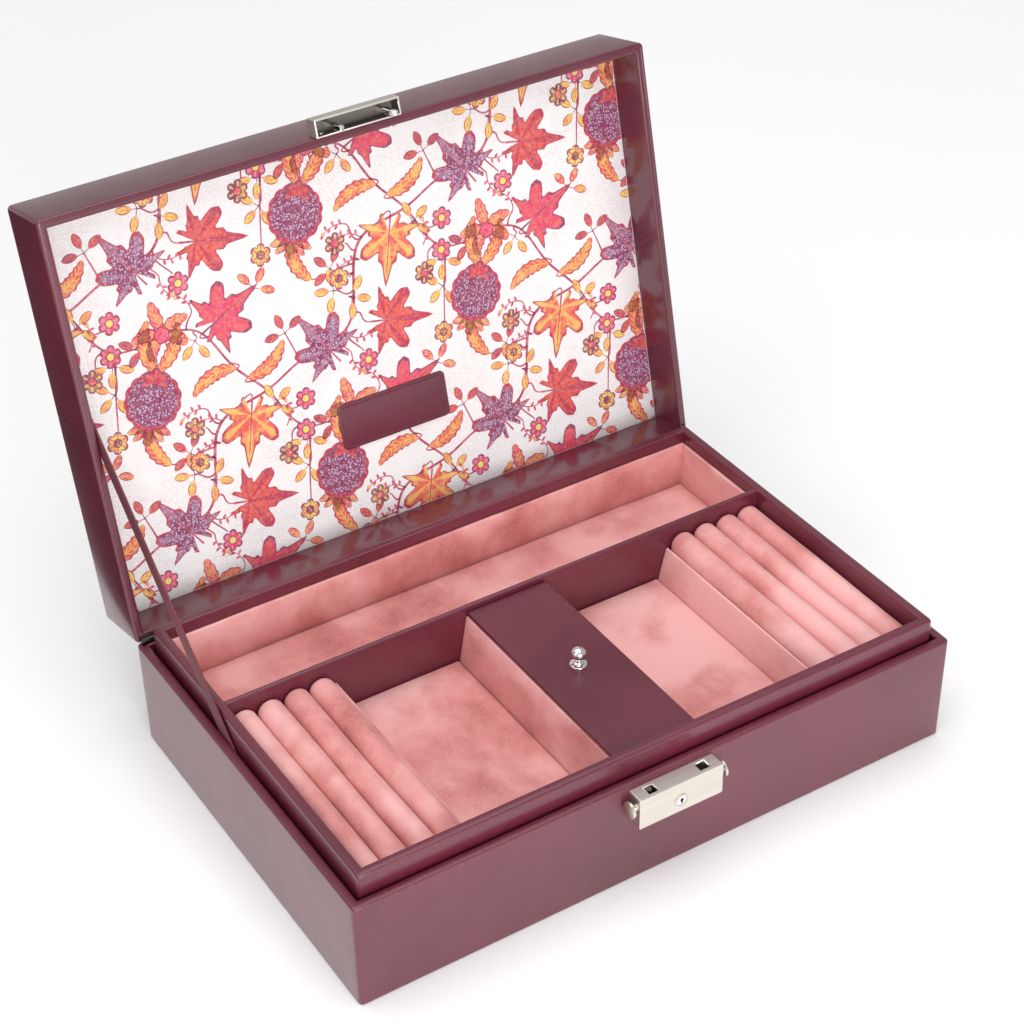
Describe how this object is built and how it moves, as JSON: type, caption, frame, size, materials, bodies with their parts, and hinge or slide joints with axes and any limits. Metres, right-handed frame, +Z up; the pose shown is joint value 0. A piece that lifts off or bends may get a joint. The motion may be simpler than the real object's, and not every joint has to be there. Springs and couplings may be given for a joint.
{
  "type": "jewellery case",
  "caption": "Leather-covered jewellery case with a hinged lid held by a strap, a lift-out velvet tray with ring rolls, and a push-button lock.",
  "frame": {"origin": "centre of the case's underside, where it stands", "axes": "+X to the right along the width, +Y to the back where the hinge is, +Z up"},
  "size_m": [0.285, 0.269, 0.2404],
  "materials": {
    "board_wood": "plain thin board, covered",
    "bordeaux_leather": "smooth semi-gloss",
    "pink_velvet": "short-pile velvet",
    "printed_lining": "fine-grained white lining with a printed floral pattern",
    "label_leather": "smooth, with a plain tooled border",
    "nickel_steel": "nickel plated",
    "dark_steel": "blackened hinge steel",
    "brushed_nickel": "fine satin nickel",
    "bright_chrome": "polished",
    "spring_steel": "drawn wire"
  },
  "bodies": {
    "base": {"base_front_board": "board_wood", "base_back_board": "board_wood", "base_left_board": "board_wood", "base_right_board": "board_wood", "base_bottom_board": "board_wood", "base_leather": "bordeaux_leather", "underside_cover": "pink_velvet", "base_floor_pad": "pink_velvet", "tray_support": "pink_velvet", "hinge_leaf_base": "dark_steel", "hinge_pin": "dark_steel", "hinge_screws_base": "nickel_steel", "strap": "bordeaux_leather", "lock_body": "brushed_nickel", "lock_back_plate": "nickel_steel", "lock_ring": "brushed_nickel", "lock_rivets": "nickel_steel", "button_spring_left": "spring_steel", "button_spring_right": "spring_steel"},
    "lid": {"lid_front_board": "board_wood", "lid_back_board": "board_wood", "lid_left_board": "board_wood", "lid_right_board": "board_wood", "lid_top_board": "board_wood", "lid_leather": "bordeaux_leather", "lid_top_panel": "bordeaux_leather", "lid_lining_panel": "printed_lining", "label_plaque": "label_leather", "lock_cap": "brushed_nickel", "cap_hooks": "bright_chrome", "cap_rivets": "nickel_steel", "hinge_leaf_lid": "dark_steel", "hinge_screws_lid": "nickel_steel"},
    "tray": {"tray_frame": "board_wood", "tray_floor_board": "board_wood", "tray_leather": "bordeaux_leather", "divider": "bordeaux_leather", "rear_compartment_lining": "pink_velvet", "rear_compartment_pad": "pink_velvet", "left_compartment_pad": "pink_velvet", "right_compartment_pad": "pink_velvet", "centre_compartment_pad": "pink_velvet", "left_partition": "pink_velvet", "right_partition": "pink_velvet", "centre_wall_left": "pink_velvet", "centre_wall_right": "pink_velvet", "ring_roll_left_1": "pink_velvet", "ring_roll_left_2": "pink_velvet", "ring_roll_left_3": "pink_velvet", "ring_roll_left_4": "pink_velvet", "ring_roll_right_1": "pink_velvet", "ring_roll_right_2": "pink_velvet", "ring_roll_right_3": "pink_velvet", "ring_roll_right_4": "pink_velvet"},
    "cover": {"cover_panel": "bordeaux_leather", "cover_knob": "bright_chrome", "knob_nut": "nickel_steel"},
    "button_left": {"button_left": "bright_chrome"},
    "button_right": {"button_right": "bright_chrome"},
    "lock_cylinder": {"lock_cylinder": "bright_chrome"}
  },
  "joints": [
    {"name": "lid_hinge", "type": "hinge", "parent": "base", "child": "lid", "pos_m": [0, 0.0924, 0.0519], "axis": [-1, 0, 0], "range_deg": [-103.25, 0], "deforming": ["strap"]},
    {"name": "tray_lift", "type": "slide", "parent": "base", "child": "tray", "axis": [0, 0, 1], "range_m": [0, 0.06]},
    {"name": "cover_lift", "type": "slide", "parent": "tray", "child": "cover", "axis": [0, 0, 1], "range_m": [0, 0.03]},
    {"name": "button_left_push", "type": "slide", "parent": "base", "child": "button_left", "axis": [1, 0, 0], "range_m": [0, 0.0015], "stiffness_N_per_m": 400, "springref_m": -0.001, "deforming": ["button_spring_left"]},
    {"name": "button_right_push", "type": "slide", "parent": "base", "child": "button_right", "axis": [-1, 0, 0], "range_m": [0, 0.0015], "stiffness_N_per_m": 400, "springref_m": -0.001, "deforming": ["button_spring_right"]},
    {"name": "key_turn", "type": "hinge", "parent": "base", "child": "lock_cylinder", "pos_m": [0, -0.1009, 0.04], "axis": [0, 1, 0], "range_deg": [-90, 0]}
  ]
}
